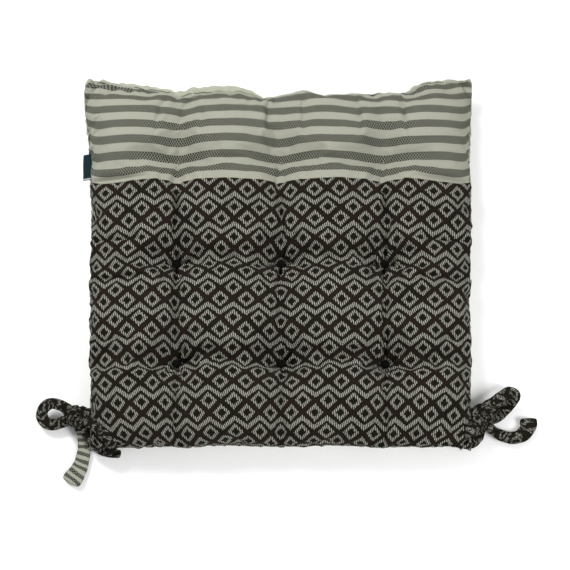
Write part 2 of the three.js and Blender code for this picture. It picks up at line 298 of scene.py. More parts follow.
# ---- materials ----------------------------------------------------------------------------------------
def striped_weave(x, across, pitch, width, rows=4, column=2.8):
    """Dark stripes of broken dashes. across is the place along the run of stripes, 0 at a stripe's centre.

    A dark stripe is a few rows of short dots, each row set half a dot aside from the next and leaning the
    other way. Between the dots it is paler. Returns the dark mask.
    """
    between_dots = 0.26
    local = (((across / pitch) + 0.5).fract() - 0.5) * pitch
    height = width / rows
    row = (local / height).floor()
    within = (local / height).fract() - 0.5
    other = (row * 0.5).fract() * 2                                       # 0 and 1 by turns
    lean = within * (other - 0.5) * 0.9
    place = (x / column + other * 0.5 + lean).fract()
    dots = abs(place - 0.5).ramp(0.37, 0.24) * abs(within).ramp(0.58, 0.40)
    in_stripe = abs(local).ramp(width / 2 + 0.15, width / 2 - 0.15)
    return in_stripe * (dots * (1 - between_dots) + between_dots)


def plain_weave(x, y, period):
    """Relief of a plain weave: threads over and under each other like a chequer of small humps."""
    step = 2 * math.pi / period
    return ((x * step).sine() * (y * step).sine()) * 0.5 + 0.5


def figure_weave(shader, x, y, place, settings):
    """The figured cloth. Returns masks of the light threads and of the brown ground.

    Down one repeat there is a row of hollow diamonds, a second row set half a figure aside with a dark
    lattice between, and a light zigzag before the next repeat. The light threads are short leaning
    dashes of uneven length. The ground is brown where it is furthest from a figure. Each pair of numbers
    below is where a light line ends and where it is full, in millimetres from its figure's middle.
    """
    wide, tall = settings.repeat_width * 1000, settings.repeat_height * 1000
    second_row, zigzag_row = 0.38 * tall, 0.70 * tall
    outside, inside, zigzag_side = (9.2, 8.4), (4.2, 5.1), (2.9, 2.1)
    zigzag_slope, dash_pitch, lean = 0.76, 1.98, 0.22
    uneven = shader.noise(place, 620, 1)
    y = y + (uneven - 0.5) * 3.0
    leaning = x + y * lean
    dash = abs((leaning / dash_pitch).fract() - 0.5).ramp(0.34, 0.20)
    stepped = ((leaning / dash_pitch).floor() + 0.5) * dash_pitch - y * lean
    aside = abs(((stepped * 0.6 + x * 0.4) / wide).fract() - 0.5) * wide     # 0 half way between columns
    down = (y * (-1 / tall)).fract() * tall                               # 0 at a first diamond's row
    first = (wide / 2 - aside) + down.lower(tall - down)
    second = aside + abs(down - second_row)
    ring = first.lower(second)
    light_ring = ring.ramp(*outside) * ring.ramp(*inside)
    zigzag = abs(down - zigzag_row + (wide / 4 - aside) * -zigzag_slope)
    light = light_ring.higher(zigzag.ramp(*zigzag_side)) * dash
    clear = (ring - 9.3).lower(zigzag - 3.2)
    return light * uneven.ramp(0.18, 0.42), clear.ramp(0.3, 1.2)


def front_cloth(settings, band_from):
    """The front cover: figured cloth, and past band_from along the warp a striped cream band."""
    shader = Shader("front_cloth")
    x, y, place = shader.cloth_place()
    x = x + (shader.noise(place, 55, 2) - 0.5) * 1.6
    y = y + (shader.noise(place, 38, 2) - 0.5) * 2.0
    threads = shader.noise(place, 900, 2, 0.6)
    blotch = shader.noise(place, 24, 3)
    light, lattice = figure_weave(shader, x, y - band_from, place, settings)
    stripes = striped_weave(
        x, y - (band_from + FIRST_STRIPE), settings.stripe_pitch * 1000, settings.stripe_width * 1000)
    ground = shader.mix(lattice * blotch.ramp(0.30, 0.55), settings.ground, settings.lattice)
    ground = shader.scaled(ground, 0.40 + threads * 1.2)
    figure = shader.scaled(settings.figure, 0.45 + threads * 0.85 + blotch * 0.25)
    figured = shader.mix(light, ground, figure)
    knots = shader.noise(place, 420, 2, 0.7)
    cream = shader.scaled(settings.cream, 0.66 + threads * 0.30 + knots * 0.22 + blotch * 0.15)
    band = shader.mix(stripes * (0.85 + threads * 0.3), cream, settings.ink)
    in_band = y.ramp(band_from - 0.3, band_from + 0.3)
    weave = plain_weave(x, y, 1.05)
    relief = shader.mix(in_band, light * 0.8 + weave * 0.25, weave * 0.35 + knots * 0.3 + stripes * 0.45)
    relief = shader.node("ShaderNodeSeparateColor", None, [relief]).wire("Red")
    return shader.finish(
        shader.mix(in_band, figured, band), 0.95, relief, 0.0006, sheen=0.02, strength=0.8)


def strap_cloth(settings):
    """Figured cloth folded into a strap: the figures go into the folds, so only stretches of them show."""
    shader = Shader("strap_cloth")
    x, y, place = shader.cloth_place()
    fold = shader.noise(place, 150, 3, 0.6)
    across = x * 1.5 + (fold - 0.5) * 16 + y * 0.4
    along = y * 1.35 + (shader.noise(place, 110, 2) - 0.5) * 12
    threads = shader.noise(place, 900, 2, 0.6)
    light, lattice = figure_weave(shader, across, along, place, settings)
    shown = shader.noise(place, 230, 2, 0.6).ramp(0.36, 0.52)
    light = light * shown
    ground = shader.scaled(shader.mix(lattice * 0.35, settings.ground, settings.lattice), 0.5 + threads)
    figure = shader.scaled(settings.figure, 0.35 + threads * 0.9)
    relief = light * 0.25 + fold * 0.9 + plain_weave(x, y, 1.05) * 0.10
    return shader.finish(shader.mix(light, ground, figure), 0.95, relief, 0.0016, sheen=0.02, strength=0.9)


def striped_strap_cloth(settings):
    """The one strap end cut from narrow striped cloth, with the stripes a little aslant."""
    shader = Shader("striped_strap_cloth")
    x, y, place = shader.cloth_place()
    fold = shader.noise(place, 90, 2)
    y = y + (fold - 0.5) * 4.0 + x * 0.22
    threads = shader.noise(place, 900, 2, 0.6)
    pitch, width, least_dark = 7.2, 3.9, 0.50
    stripes = striped_weave(x, y, pitch, width, rows=3, column=1.9)
    stripes = stripes.higher(abs((y / pitch + 0.5).fract() - 0.5).ramp(0.29, 0.22) * least_dark)
    cream = shader.scaled(settings.cream, 0.75 + threads * 0.45)
    relief = plain_weave(x, y, 1.05) * 0.2 + stripes * 0.15 + fold * 0.6
    return shader.finish(
        shader.mix(stripes * (0.85 + threads * 0.3), cream, settings.ink), 0.95, relief, 0.0012,
        sheen=0.03, strength=0.8)


def backing_cloth(settings):
    """Brushed plain cotton: a fine weave under a soft nap."""
    shader = Shader("backing_cloth")
    x, y, place = shader.cloth_place()
    nap = shader.noise(place, 420, 4, 0.7)
    blotch = shader.noise(place, 30, 3)
    tint = shader.scaled(settings.brushed, 0.70 + nap * 0.38 + blotch * 0.24)
    relief = nap * 0.8 + plain_weave(x, y, 0.9) * 0.2
    return shader.finish(tint, 0.97, relief, 0.0007, sheen=0.25, sheen_tint=(0.95, 0.97, 0.85), strength=0.9)


def fibre_batt():
    """White polyester fibre."""
    shader = Shader("fibre_batt")
    place = shader.object_place()
    strands = shader.noise(place, 260, 5, 0.75)
    tint = shader.mix(strands, (0.66, 0.66, 0.62), (0.86, 0.86, 0.83))
    return shader.finish(tint, 0.95, strands, 0.0015, sheen=0.3)


def thread_finish(name, dark, light):
    """Twisted thread: slanting plies that show as fine bands. The tint runs from dark in the grooves between
    plies to light on their crowns, on the same wave as the relief: painted shade, with a random tone on top.
    """
    shader = Shader(name)
    x, y, place = shader.cloth_place()
    ply = ((x * 2.0 + y * 3.5).sine() * 0.5 + 0.5)
    # Dark in the ply grooves and light on the crowns: painted shade, times a random tone.
    tint = shader.mix(ply * (0.6 + shader.noise(place, 1500) * 0.5), dark, light)
    return shader.finish(tint, 0.75, ply, 0.0002, sheen=0.1)


def label_tape():
    """Satin-woven tape in dark teal, with a pale selvedge along one side."""
    selvedge = (-12.3, -12.9)
    shader = Shader("label_tape")
    x, y, place = shader.cloth_place()
    rib = (x * (2 * math.pi / 0.55)).sine() * 0.5 + 0.5
    fine = shader.noise(place, 1400, 2)
    teal = shader.mix(fine, (0.0030, 0.0120, 0.0145), (0.0085, 0.0300, 0.0340))
    # The teal is scaled darker in the grooves between ribs, on the same wave as the relief: painted shade.
    teal = shader.scaled(teal, 0.7 + rib * 0.5)
    tint = shader.mix(y.ramp(*selvedge), teal, (0.38, 0.42, 0.41))
    return shader.finish(tint, 0.60, rib, 0.00015)


def floor_finish(tint):
    """Plain pale paper sweep with the faintest tooth."""
    shader = Shader("floor_paper")
    grain = shader.noise(shader.object_place(), 60, 2)
    return shader.finish(shader.scaled(tint, 0.985 + grain * 0.03), 0.9, grain, 0.0001, strength=0.2)


MATERIALS = {}


def material(name):
    """The named finish, made the first time that it is asked for."""
    cloth = bpy.context.scene.seat_pad_cloth
    makers = {
        "strap": lambda: strap_cloth(cloth),
        "striped_strap": lambda: striped_strap_cloth(cloth),
        "backing": lambda: backing_cloth(cloth),
        "batt": fibre_batt,
        "dark_thread": lambda: thread_finish(
            "dark_thread", (0.0012, 0.0012, 0.0010), (0.0065, 0.0060, 0.0045)),
        # The cream thread is greyer than the cloth's cream: partly its own tone, partly painted shade for the
        # dimples where it sits at the back row of tufts. The closing stitches share it.
        "cream_thread": lambda: thread_finish("cream_thread", (0.12, 0.12, 0.09), (0.27, 0.28, 0.22)),
        "label": label_tape,
    }
    if name not in MATERIALS:
        MATERIALS[name] = makers[name]()
    return MATERIALS[name]


# ---- meshes -------------------------------------------------------------------------------------------
def mesh_object(name, places, faces, finish, cloth=None):
    """A smooth-shaded object from arrays of places and faces, with the cloth place of every vertex."""
    mesh = bpy.data.meshes.new(name)
    mesh.from_pydata(np.asarray(places, float).tolist(), [], [tuple(face) for face in faces])
    if cloth is not None:
        layer = mesh.attributes.new("cloth", "FLOAT2", "POINT")
        layer.data.foreach_set("vector", np.asarray(cloth, np.float32).ravel())
    mesh.materials.append(finish)
    mesh.shade_smooth()
    mesh.update()
    made = bpy.data.objects.new(name, mesh)
    bpy.context.scene.collection.objects.link(made)
    return made


def placed(piece, body, slot, *nodes):
    """Says which body the piece rides on and which nodes it stands for, and hides those nodes; slot is not
    used.
    """
    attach(piece, body)
    if nodes:
        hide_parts(*nodes)


def grid_faces(index, wrap=False):
    """Four-sided faces of a grid of vertex numbers. wrap joins the last column to the first."""
    if wrap:
        index = np.concatenate([index, index[:, :1]], axis=1)
    corners = (index[:-1, :-1], index[1:, :-1], index[1:, 1:], index[:-1, 1:])
    return np.stack(corners, axis=-1).reshape(-1, 4)


def unit(vectors):
    return vectors / np.maximum(np.linalg.norm(vectors, axis=-1, keepdims=True), 1e-12)


def smooth_path(points, steps):
    """A centripetal Catmull-Rom curve through the points, at even steps along its length."""
    points = np.asarray(points, float)
    ends = np.concatenate([[2 * points[0] - points[1]], points, [2 * points[-1] - points[-2]]])
    knots = np.concatenate([[0], np.cumsum(np.sqrt(np.linalg.norm(np.diff(ends, axis=0), axis=1)))])
    t = np.linspace(knots[1], knots[-2], steps * 8)
    k = np.clip(np.searchsorted(knots, t, "right") - 1, 1, len(points) - 1)

    def lerp(a, b, low, high):
        share = ((t - low) / (high - low))[:, None]
        return a * (1 - share) + b * share

    t0, t1, t2, t3 = (knots[k + i] for i in (-1, 0, 1, 2))
    p0, p1, p2, p3 = (ends[k + i] for i in (-1, 0, 1, 2))
    a1, a2, a3 = lerp(p0, p1, t0, t1), lerp(p1, p2, t1, t2), lerp(p2, p3, t2, t3)
    b1, b2 = lerp(a1, a2, t0, t2), lerp(a2, a3, t1, t3)
    dense = lerp(b1, b2, t1, t2)
    along = np.concatenate([[0], np.cumsum(np.linalg.norm(np.diff(dense, axis=0), axis=1))])
    even = np.linspace(0, along[-1], steps)
    return np.stack([np.interp(even, along, dense[:, i]) for i in range(3)], axis=1)


def carried(name, path, half_width, half_thick, finish, sides=24, closed=False, creases=0.0, seed=0,
            squareness=0.8, twist=0.0, cloth_from=(0.0, 0.0), floor=None, end_finish=None, end_from=1.0):
    """A flat section carried along a path, lying as flat as the path lets it.

    The section is a rounded oblong: cosine and sine raised to the power squareness, times the half width
    and half thickness, which may vary along the path. creases adds lengthwise folds that wander. Open
    ends are closed by a rounded cap. floor presses the section flat below that height, and end_finish
    covers the part past the share end_from of the path.
    """
    path = np.asarray(path, float)
    count = len(path)
    if closed:
        tangent = unit(np.roll(path, -1, 0) - np.roll(path, 1, 0))
    else:
        tangent = unit(np.gradient(path, axis=0))
    side = unit(np.cross(tangent, (0, 0, 1)))
    if not closed:
        turned = (side[1:] * side[:-1]).sum(1) < 0
        side[1:] *= np.cumprod(np.where(turned, -1, 1))[:, None]
        side = unit(softened(side, 6))
    lift = unit(np.cross(side, tangent))
    turn = np.broadcast_to(twist, count)[:, None]
    side, lift = side * np.cos(turn) + lift * np.sin(turn), lift * np.cos(turn) - side * np.sin(turn)
    width = np.broadcast_to(half_width, count).astype(float).copy()
    thick = np.broadcast_to(half_thick, count).astype(float).copy()
    along = np.concatenate([[0], np.cumsum(np.linalg.norm(np.diff(path, axis=0), axis=1))])
    if not closed:
        from_end = np.minimum(along, along[-1] - along)
        rounding = np.sqrt(np.clip(1 - (1 - np.clip(from_end / thick.mean(), 0, 1)) ** 2, 0, 1))
        width *= 0.55 + 0.45 * rounding
        thick *= 0.15 + 0.85 * rounding
    angle = np.linspace(0, 2 * np.pi, sides, endpoint=False)
    around = angle[None, :]
    random = np.random.default_rng(RNG_SEED + seed)
    fold = np.zeros((count, sides))
    for wave, share in ((2, 0.5), (3, 1.0), (5, 0.7), (7, 0.4)):
        drift = random.uniform(-1, 1) * 60 * along[:, None] + random.uniform(0, 2 * np.pi)
        swell = 0.6 + 0.4 * np.sin(along[:, None] * random.uniform(150, 330) + random.uniform(0, 6))
        fold += share * np.sin(wave * around + drift) * swell
    swell = 1 + creases * fold
    flat_cos = np.sign(np.cos(angle)) * np.abs(np.cos(angle)) ** squareness
    flat_sin = np.sign(np.sin(angle)) * np.abs(np.sin(angle)) ** squareness
    places = (path[:, None, :] + side[:, None, :] * (flat_cos * width[:, None] * swell)[..., None]
              + lift[:, None, :] * (flat_sin * thick[:, None] * swell)[..., None])
    if floor is not None:
        places[..., 2] = np.maximum(places[..., 2], floor + 0.0002 * np.sin(around * 3))
    girth = 2 * (width.mean() + thick.mean()) * 1.6
    cloth = np.stack(np.broadcast_arrays(
        cloth_from[0] + np.abs(np.linspace(-1, 1, sides, endpoint=False))[None, :] * girth / 2,
        cloth_from[1] + along[:, None]), axis=-1)
    index = np.arange(count * sides).reshape(count, sides)
    flat, flat_cloth = places.reshape(-1, 3), cloth.reshape(-1, 2)
    if closed:
        joined = np.concatenate([index, index[:1]])
        faces = grid_faces(joined, wrap=True).tolist()
    else:
        faces = grid_faces(index, wrap=True).tolist()
        tips = np.stack([places[0].mean(0), places[-1].mean(0)])
        flat = np.concatenate([flat, tips])
        flat_cloth = np.concatenate([flat_cloth, cloth[[0, -1]].mean(1)])
        first, last = count * sides, count * sides + 1
        near, far = index[0], index[-1]
        faces += np.stack([np.roll(near, -1), near, np.full(sides, first)], 1).tolist()
        faces += np.stack([far, np.roll(far, -1), np.full(sides, last)], 1).tolist()
    made = mesh_object(name, flat, faces, finish, flat_cloth)
    if end_finish:
        made.data.materials.append(end_finish)
        first_end = int(count * end_from) * sides
        which = [int(min(face) >= first_end) for face in faces]
        made.data.polygons.foreach_set("material_index", which)
    return made


# ---- tie straps ---------------------------------------------------------------------------------------
# Each route is a list of (outwards from the seam point, along +Y from it, height above the base), in
# millimetres. It runs through or beside the frame's straps, a few millimetres nearer the pad in places,
# where the soft bow leans on it. The widths are the loop's, the tail's and the cut end's.
SEAM_POINT = (198.03, -160.85)
PIVOT_REACH = 6.1
BOWS = {
    "left": {
        "side": -1,
        "knot": (11, 0, 14),
        "loops": {
            "outer": [(17, 5, 16), (27, 11.5, 15), (36, 14, 13), (43.5, 10, 11), (46, 2, 9), (41.5, -5, 8),
                      (33, -7, 8.5), (24, -4, 9.5), (17, -1, 11)],
            "inner": [(-1, -7, 24), (-11, -15, 30), (-20, -23.5, 32), (-26, -31, 27.5), (-24, -36, 19),
                      (-15, -34, 13.5), (-7, -26, 13.5), (1, -15, 14.5)],
        },
        "tails": {
            "long": [(8.5, -9, 12), (5.5, -18, 8), (4, -27, 5.2), (3.6, -36, 4.6), (4.4, -44, 4.4),
                     (7, -52, 4.4), (11, -59.5, 4.4), (16, -68, 4.4)],
            "short": [(3, -13, 6), (-5, -25, 5), (-17, -34, 4.4), (-35, -37, 4.2)],
        },
        "widths": {"outer": (12.0, 11.0, 19.0), "inner": (12.5, 12, 8.5)},
    },
    "right": {
        "side": 1,
        "knot": (11, 1, 14),
        "loops": {
            "outer": [(12, 8, 19), (20, 13.5, 19), (28.5, 20, 18), (36, 24.5, 16), (40.5, 23, 12),
                      (37.5, 17.5, 8.5), (31, 10.5, 7.5), (25, 3.5, 8.5), (18, -1, 11)],
            "inner": [(3, -7, 25), (0, -15, 28.5), (-5, -19.5, 30), (-11, -22, 26), (-12.5, -25.5, 20),
                      (-8, -28, 14), (-1, -25, 11.5), (4, -17, 11.5), (7, -10, 14)],
        },
        "tails": {
            "long": [(13, -9, 12), (20, -15, 8), (29, -19, 5.5), (39, -20.5, 5), (48, -17.5, 5),
                     (53.5, -11.5, 5), (55.5, -5.5, 5.4), (55.5, 0.5, 5.8)],
            "short": [(7, -12, 5), (5, -19, 4.4), (-1, -24, 4.2), (-9, -26, 4)],
        },
        "widths": {"outer": (12.8, 12.6, 18.0), "inner": (12.5, 9, 9)},
    },
}
LEAD_HEIGHTS = {"upper": 25.35, "lower": 18.65}
STRAPS = {"upper": ("outer", "long"), "lower": ("inner", "short")}


def strap_route(bow, level):
    """The points of one strap, in metres: out of the seam, through the knot, round its loop, through the
    knot again and along its tail."""
    through_knot = 0.45
    loop, tail = STRAPS[level]
    knot = np.array(bow["knot"], float)

    def mouth(point):
        return knot + through_knot * (np.array(point, float) - knot)

    first, last = bow["loops"][loop][0], bow["loops"][loop][-1]
    points = [
        (PIVOT_REACH, 0, LEAD_HEIGHTS[level]), tuple(mouth((PIVOT_REACH, 0, LEAD_HEIGHTS[level]))),
        tuple(mouth(first)), *bow["loops"][loop], tuple(mouth(last)), tuple(mouth(bow["tails"][tail][0])),
        *bow["tails"][tail],
    ]
    points = np.array(points, float)
    x = bow["side"] * (SEAM_POINT[0] + points[:, 0])
    return np.stack([x, SEAM_POINT[1] + points[:, 1], points[:, 2]], axis=1) * MM


def make_strap(name, bow, level, sizes):
    """One strap of a bow: a flat section carried along its route, widest at the loop and the cut end."""
    loop, tail = STRAPS[level]
    side = bow["side"]
    route = strap_route(bow, level)
    path = smooth_path(route, 220)
    along = np.concatenate([[0], np.cumsum(np.linalg.norm(np.diff(path, axis=0), axis=1))])
    length = float(along[-1])
    share = along / length
    at_loop, at_tail, at_end = bow["widths"][loop]
    width = np.interp(share, (0, 0.45, 0.62, 0.68, 0.97),
                      (at_loop, at_loop, at_loop * 0.9, at_tail * 0.8, at_end))
    width = width * MM / 2 * (0.95 + 0.05 * np.sin(share * 41) ** 2)
    striped = loop == "outer" and side < 0
    strap = carried(
        f"{name}_strap_{loop}", path, width, sizes.thickness / 2, material("strap"), creases=0.085,
        seed=3 + len(loop) + side, cloth_from=(0.01 * side, -0.05), sides=32, floor=0.0003,
        end_finish=material("striped_strap") if striped else None, end_from=0.655)
    placed(strap, name, "jacquard_cotton",
           f"{name}_lead_{level}", f"{name}_loop_{loop}", f"{name}_tail_{tail}")
    return strap, route, length


class SEATPAD_OT_straps(bpy.types.Operator):
    """Makes the two bows: four tie straps, each from the seam through its knot to its tail"""

    bl_idname = "seatpad.straps"
    bl_label = "Tie straps"

    def execute(self, context):
        sizes = context.scene.seat_pad_ties
        for label, bow in BOWS.items():
            name = f"tie_{label}"
            knot = make_knot(name, bow)
            for level in STRAPS:
                strap, route, length = make_strap(name, bow, level, sizes)
            make_root(name, bow["side"], sizes)
        return {"FINISHED"}


def make_knot(name, bow):
    """The crossed middle of a bow: a ball, its radius crumpled by sines, with two turns of strap round it."""
    low, high = (np.array(corner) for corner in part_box(f"{name}_knot"))
    centre = (low + high) / 2 + np.array((-bow["side"] * 5.5, 1.0, 3.0)) * MM
    half = np.array((12.0, 12.5, 11.0)) * MM
    fullness = 0.86
    rings, sides = 56, 80
    polar = np.linspace(0, np.pi, rings)[1:-1, None]
    around = np.linspace(0, 2 * np.pi, sides, endpoint=False)[None, :]
    crumple = (0.09 * np.sin(5 * around + 3 * polar) + 0.07 * np.sin(3 * around - 7 * polar)
               + 0.05 * np.sin(9 * around + 5 * polar) + 0.03 * np.sin(14 * around - 11 * polar))
    radius = fullness * (1 + crumple * np.sin(polar))
    directions = np.stack(np.broadcast_arrays(
        np.sin(polar) * np.cos(around), np.sin(polar) * np.sin(around), np.cos(polar)), axis=-1)
    body = (centre + directions * radius[..., None] * half).reshape(-1, 3)
    poles = centre + np.array([(0, 0, fullness), (0, 0, -fullness)]) * half
    index = np.arange(len(body)).reshape(rings - 2, sides)
    top, bottom = len(body), len(body) + 1
    faces = grid_faces(index, wrap=True).tolist()
    faces += np.stack([index[0], np.roll(index[0], -1), np.full(sides, top)], 1).tolist()
    faces += np.stack([np.roll(index[-1], -1), index[-1], np.full(sides, bottom)], 1).tolist()
    places = np.concatenate([body, poles])
    cloth = (places - centre)[:, :2] + (places - centre)[:, 2:3] * (0.8, 1.3)
    knot = mesh_object(f"{name}_knot_cloth", places, faces, material("strap"), cloth)
    placed(knot, name, "jacquard_cotton", f"{name}_knot")
    turn = np.linspace(0, 2 * np.pi, 72, endpoint=False)
    for number_of, (lean, tip, size) in enumerate(((0.35, 0.25, 0.84), (-0.75, -0.35, 0.72))):
        first = np.array((math.cos(lean) * bow["side"], math.sin(lean), tip))
        second = np.array((-math.sin(lean) * 0.25 * bow["side"], 0.25 * math.cos(lean), 1.0))
        first, second = unit(first), unit(second - first * (second @ unit(first)))
        ring = centre + (np.cos(turn)[:, None] * first + np.sin(turn)[:, None] * second) * half * size
        wrap = carried(f"{name}_wrap_{number_of + 1}", ring, 0.0052, 0.0026, material("strap"), sides=20,
                       closed=True, creases=0.08, seed=20 + number_of, twist=np.pi / 2)
        placed(wrap, name, "jacquard_cotton")
    return knot


def make_root(name, side, sizes):
    """The stub of folded strap that is sewn into the seam."""
    low, high = (np.array(corner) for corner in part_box(f"{name}_root"))
    middle = (low + high) / 2
    reach = (high - low)[0]
    inner, outer = middle[0] - side * reach * 2.2, middle[0] + side * (reach * 0.5 + 0.0014)
    steps = np.linspace(inner, outer, 26)
    path = np.stack([steps, np.full(26, middle[1]), np.full(26, middle[2])], axis=1)
    root = carried(f"{name}_root_cloth", path, sizes.width / 2, 0.0030, material("strap"), sides=20,
                   creases=0.05, seed=31)
    placed(root, "pad", "jacquard_cotton", f"{name}_root")


# ---- pad covers ---------------------------------------------------------------------------------------
def seam_lines(across, along):
    """The designed seam: for places across (back and front edges) and along (left and right edges), the
    points of the four edges."""
    back_y = softened(np.interp(across, BACK_SEAM[:, 0], BACK_SEAM[:, 1])[:, None], 2)[:, 0]
    back_z = softened(np.interp(across, BACK_SEAM[:, 0], BACK_SEAM[:, 2])[:, None], 3)[:, 0]
    corner = (np.abs(across) / HALF) ** 8
    front_y = FRONT_SEAM[0] - 0.002 * corner - 0.0005 * np.cos(2 * np.pi * across / PITCH)
    front_z = FRONT_SEAM[1] + 0.001 * corner
    left = softened(np.interp(along, SIDE_SEAM[:, 0], SIDE_SEAM[:, 1])[:, None], 3)[:, 0]
    right = softened(np.interp(along, SIDE_SEAM[:, 0], SIDE_SEAM[:, 2])[:, None], 3)[:, 0]
    level = np.full(len(along), SIDE_SEAM_HEIGHT)
    rise = smooth(0.150, HALF, along) * (back_z[[0, -1]].mean() - SIDE_SEAM_HEIGHT)
    sink = smooth(-0.150, -HALF, along) * (front_z[0] - SIDE_SEAM_HEIGHT)
    return {
        "back": np.stack([across, back_y, back_z], 1),
        "front": np.stack([across, front_y, front_z], 1),
        "left": np.stack([left, along, level + rise + sink], 1),
        "right": np.stack([right, along, level + rise + sink], 1),
    }


def side_sweep(t, flat, seam_angle, start):
    """Angle round the pad's side, from start (90 degrees on top, -90 underneath) to the seam's."""
    share = np.clip((np.abs(t) - flat) / (1 - flat), 0, 1)
    return start + share * (seam_angle - start)


def pits_and_valleys(x, y, at_back):
    """Shares of the full depth, from 0 to 1: a pit round each tuft, and valleys along rows and columns."""
    from_column, from_row = nearest_line(x), nearest_line(y)
    reach = np.hypot(from_column, from_row)
    pit = hollow(reach, 0.036) * (0.60 + 0.15 * at_back) + hollow(reach, 0.014) * (0.40 - 0.25 * at_back)
    column = hollow(from_column, 0.022) * 0.45 + hollow(from_column, 0.008) * 0.28 * (1 - at_back)
    row = hollow(from_row, 0.018) * (0.58 - 0.25 * at_back)
    return pit, np.maximum(column, row)


def drawn_to_seam(grid, seam, u, v, power):
    """Moves the edges on to the designed seam, and the cloth beside them by u or v raised to the power."""
    for edge, row, weight in (("back", (slice(None), -1), v), ("front", (slice(None), 0), -v)):
        gap = seam[edge] - grid[row]
        grid = grid + gap[:, None, :] * (np.clip(weight, 0, 1) ** power)[..., None]
    seam["left"][:, 1] = grid[0, :, 1]
    seam["right"][:, 1] = grid[-1, :, 1]
    for edge, row, weight in (("left", 0, -u), ("right", -1, u)):
        gap = seam[edge] - grid[row]
        gap[0] = gap[-1] = 0
        grid = grid + gap[None, :, :] * (np.clip(weight, 0, 1) ** (power + 1))[..., None]
    return grid


def cover_start(top, pad):
    """Start shape of a cover, before it is stuffed, on a grid of u and v from -1 to 1.

    Inside, the cover is level, with a valley along each row and column of tufts and a pit at each tuft.
    Towards an edge it sweeps round a quarter ellipse to the seam, further where the seam is rolled on to
    the other side, and the last stretch is drawn to the designed seam.
    """
    t = np.linspace(-1, 1, 2 * CELLS + 1)
    u, v = np.meshgrid(t, t, indexing="ij")
    cell = TUFT_CELL_TOP if top else TUFT_CELL_UNDER
    stretch = (PITCH / HALF) * CELLS / cell
    flat = (np.pi / 2 / stretch - 1) / (np.pi / 2 - 1)
    rounding = 1 - stretch * flat
    start = np.pi / 2 if top else -np.pi / 2
    across, along = t * HALF, t * HALF
    seam = seam_lines(across, along)
    back_angle = np.arcsin(np.clip((seam["back"][:, 2] - MID) / BACK_RISE, -0.95, 0.95))[:, None]
    front_angle = np.arcsin(np.clip((seam["front"][:, 2] - MID) / MID, -0.95, 0.95))[:, None]
    side_angle = np.arcsin(np.clip((seam["left"][:, 2] - MID) / MID, -0.95, 0.95))[None, :]
    angle_u = side_sweep(u, flat, side_angle, start)
    angle_v = np.where(v > 0, side_sweep(v, flat, back_angle, start), side_sweep(v, flat, front_angle, start))

    def plan(t, angle):
        turned = np.abs(t) > flat
        inner = np.minimum(np.abs(t), flat) * stretch
        share = np.cos(angle)
        axis = np.where(angle * start > 0, rounding, np.where(start > 0, 0.12, 0.16))
        outer = 1 - axis * (1 - share)
        return np.sign(t) * np.where(turned, outer, inner) * HALF

    x, y = plan(u, angle_u), plan(v, angle_v)
    at_back = smooth(0.05, 0.09, y)
    pit, valley = pits_and_valleys(x, y, at_back)
    if top:
        crown = pad.crown - pad.valley * valley
        crown = crown + (pad.tuft_height + 0.013 * at_back - crown) * pit
        level = np.clip(np.sin(angle_u), 0, 1) * np.clip(np.sin(angle_v), 0, 1)
        below = np.minimum(np.minimum(np.sin(angle_v), np.sin(angle_u)), 0)
        z = MID + (crown - MID) * level + MID * below
    else:
        bottom = 0.001 + 0.007 * pit
        level = np.clip(-np.sin(angle_u), 0, 1) * np.clip(-np.sin(angle_v), 0, 1)
        z = MID + (bottom - MID) * level + BACK_RISE * np.maximum(np.sin(angle_v), 0)
        fuller = smooth(-0.020, -0.040, across) + smooth(0.120, 0.145, across)
        widest = seam["back"][:, 1] + 0.95 * (seam["back"][:, 2] - MID) + 0.004 + 0.0045 * fuller
        y = y + (widest - HALF)[:, None] * np.clip(v, 0, 1) ** 4
    half = np.where(u < 0, -np.interp(y, SIDE_SEAM[:, 0], SIDE_SEAM[:, 1]),
                    np.interp(y, SIDE_SEAM[:, 0], SIDE_SEAM[:, 2]))
    x = x * (1 + (softened(half.T, 4).T / HALF - 1) * u ** 2)
    return drawn_to_seam(np.stack([x, y, z], axis=-1), seam, u, v, 4 if top else 14)


